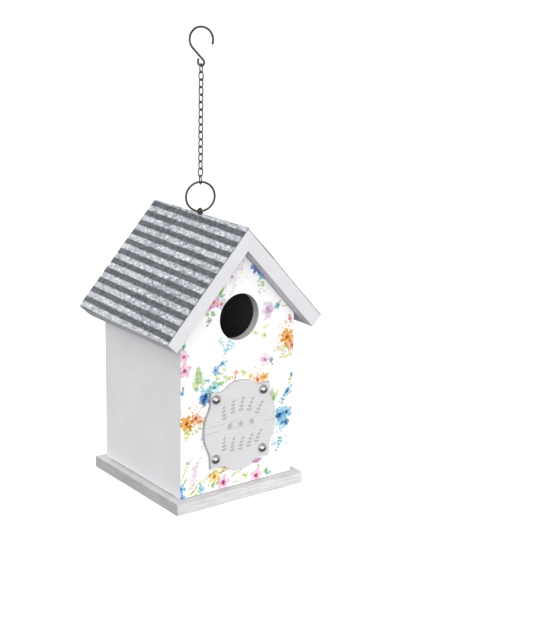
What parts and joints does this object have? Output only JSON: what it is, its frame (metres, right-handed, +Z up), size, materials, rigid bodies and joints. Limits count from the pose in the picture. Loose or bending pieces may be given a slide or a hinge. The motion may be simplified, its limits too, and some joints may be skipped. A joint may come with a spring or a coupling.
{
  "type": "hanging birdhouse",
  "caption": "Hanging wooden birdhouse with a gabled roof, round entrance hole, tacked front plaque and pull-out back door, carried by a wire chain, ring and hook.",
  "frame": {"origin": "inside top of the hook, where the birdhouse hangs", "axes": "+Z up along the hanging chain; the front with the entrance hole faces -Y; X runs across the front"},
  "size_m": [0.1524, 0.1333, 0.3781],
  "materials": {
    "whitewash": "whitewashed, grain showing",
    "white_paint": "painted white, satin",
    "floral_print": "white film with a scattered watercolour flower print",
    "striped_sheet": "thin sheet in dark and light bands that imitate corrugated zinc",
    "plaque_grey": "pale grey washed board",
    "bright_tack": "polished",
    "gunmetal": "dark gunmetal",
    "dark_iron": "dark grey",
    "knob_white": "gloss white"
  },
  "bodies": {
    "hook": {"hanging_hook": "gunmetal"},
    "link_01": {"chain_link_01": "gunmetal"},
    "link_02": {"chain_link_02": "gunmetal"},
    "link_03": {"chain_link_03": "gunmetal"},
    "link_04": {"chain_link_04": "gunmetal"},
    "link_05": {"chain_link_05": "gunmetal"},
    "link_06": {"chain_link_06": "gunmetal"},
    "link_07": {"chain_link_07": "gunmetal"},
    "link_08": {"chain_link_08": "gunmetal"},
    "link_09": {"chain_link_09": "gunmetal"},
    "link_10": {"chain_link_10": "gunmetal"},
    "link_11": {"chain_link_11": "gunmetal"},
    "link_12": {"chain_link_12": "gunmetal"},
    "link_13": {"chain_link_13": "gunmetal"},
    "link_14": {"chain_link_14": "gunmetal"},
    "link_15": {"chain_link_15": "gunmetal"},
    "link_16": {"chain_link_16": "gunmetal"},
    "ring": {"hanging_ring": "gunmetal"},
    "house": {"base_board": "whitewash", "left_wall": "white_paint", "right_wall": "white_paint", "front_gable_panel": "white_paint", "back_gable_panel": "white_paint", "front_floral_print": "floral_print", "left_roof_board": "white_paint", "right_roof_board": "white_paint", "folded_roof_sheet": "striped_sheet", "front_plaque": "plaque_grey", "plaque_tack_top_left": "bright_tack", "plaque_tack_top_right": "bright_tack", "plaque_tack_bottom_left": "bright_tack", "plaque_tack_bottom_right": "bright_tack", "screw_eye": "gunmetal", "left_button_screw": "dark_iron", "right_button_screw": "dark_iron", "left_door_stop": "white_paint", "right_door_stop": "white_paint"},
    "left_button": {"left_turn_button": "dark_iron"},
    "right_button": {"right_turn_button": "dark_iron"},
    "door": {"cleanout_door": "white_paint", "door_knob": "knob_white"}
  },
  "joints": [
    {"name": "hook_to_link_01", "type": "hinge", "parent": "hook", "child": "link_01", "pos_m": [0, 0, -0.0294], "axis": [0.549, -0.8358, 0], "range_deg": [-60, 60]},
    {"name": "link_01_to_link_02", "type": "hinge", "parent": "link_01", "child": "link_02", "pos_m": [0, 0, -0.03497], "axis": [0.8996, 0.4368, 0], "range_deg": [-60, 60]},
    {"name": "link_02_to_link_03", "type": "hinge", "parent": "link_02", "child": "link_03", "pos_m": [0, 0, -0.04089], "axis": [-0.3173, 0.9483, 0], "range_deg": [-60, 60]},
    {"name": "link_03_to_link_04", "type": "hinge", "parent": "link_03", "child": "link_04", "pos_m": [0, 0, -0.04681], "axis": [-0.9806, -0.1959, 0], "range_deg": [-60, 60]},
    {"name": "link_04_to_link_05", "type": "hinge", "parent": "link_04", "child": "link_05", "pos_m": [0, 0, -0.05273], "axis": [0.1959, -0.9806, 0], "range_deg": [-60, 60]},
    {"name": "link_05_to_link_06", "type": "hinge", "parent": "link_05", "child": "link_06", "pos_m": [0, 0, -0.05865], "axis": [0.9806, 0.1959, 0], "range_deg": [-60, 60]},
    {"name": "link_06_to_link_07", "type": "hinge", "parent": "link_06", "child": "link_07", "pos_m": [0, 0, -0.06457], "axis": [-0.1959, 0.9806, 0], "range_deg": [-60, 60]},
    {"name": "link_07_to_link_08", "type": "hinge", "parent": "link_07", "child": "link_08", "pos_m": [0, 0, -0.07049], "axis": [-0.9806, -0.1959, 0], "range_deg": [-60, 60]},
    {"name": "link_08_to_link_09", "type": "hinge", "parent": "link_08", "child": "link_09", "pos_m": [0, 0, -0.07641], "axis": [0.1959, -0.9806, 0], "range_deg": [-60, 60]},
    {"name": "link_09_to_link_10", "type": "hinge", "parent": "link_09", "child": "link_10", "pos_m": [0, 0, -0.08233], "axis": [0.9806, 0.1959, 0], "range_deg": [-60, 60]},
    {"name": "link_10_to_link_11", "type": "hinge", "parent": "link_10", "child": "link_11", "pos_m": [0, 0, -0.08825], "axis": [-0.1959, 0.9806, 0], "range_deg": [-60, 60]},
    {"name": "link_11_to_link_12", "type": "hinge", "parent": "link_11", "child": "link_12", "pos_m": [0, 0, -0.09417], "axis": [-0.9806, -0.1959, 0], "range_deg": [-60, 60]},
    {"name": "link_12_to_link_13", "type": "hinge", "parent": "link_12", "child": "link_13", "pos_m": [0, 0, -0.10009], "axis": [0.1959, -0.9806, 0], "range_deg": [-60, 60]},
    {"name": "link_13_to_link_14", "type": "hinge", "parent": "link_13", "child": "link_14", "pos_m": [0, 0, -0.10601], "axis": [0.9806, 0.1959, 0], "range_deg": [-60, 60]},
    {"name": "link_14_to_link_15", "type": "hinge", "parent": "link_14", "child": "link_15", "pos_m": [0, 0, -0.11193], "axis": [-0.061, 0.9981, 0], "range_deg": [-60, 60]},
    {"name": "link_15_to_link_16", "type": "hinge", "parent": "link_15", "child": "link_16", "pos_m": [0, 0, -0.11785], "axis": [-0.9971, 0.0767, 0], "range_deg": [-60, 60]},
    {"name": "link_16_to_ring", "type": "hinge", "parent": "link_16", "child": "ring", "pos_m": [0, 0, -0.12377], "axis": [-0.2113, -0.9774, 0], "range_deg": [-60, 60]},
    {"name": "ring_to_house", "type": "hinge", "parent": "ring", "child": "house", "pos_m": [0, 0, -0.14607], "axis": [0.9397, -0.342, 0], "range_deg": [-60, 60]},
    {"name": "left_button_turn", "type": "hinge", "parent": "house", "child": "left_button", "pos_m": [-0.0306, 0.0594, -0.33077], "axis": [0, -1, 0], "range_deg": [-111.7, 90]},
    {"name": "right_button_turn", "type": "hinge", "parent": "house", "child": "right_button", "pos_m": [0.0306, 0.0594, -0.33077], "axis": [0, 1, 0], "range_deg": [-97.8, 90]},
    {"name": "door_pull_out", "type": "slide", "parent": "house", "child": "door", "axis": [0, 1, 0], "range_m": [0, 0.03]}
  ]
}
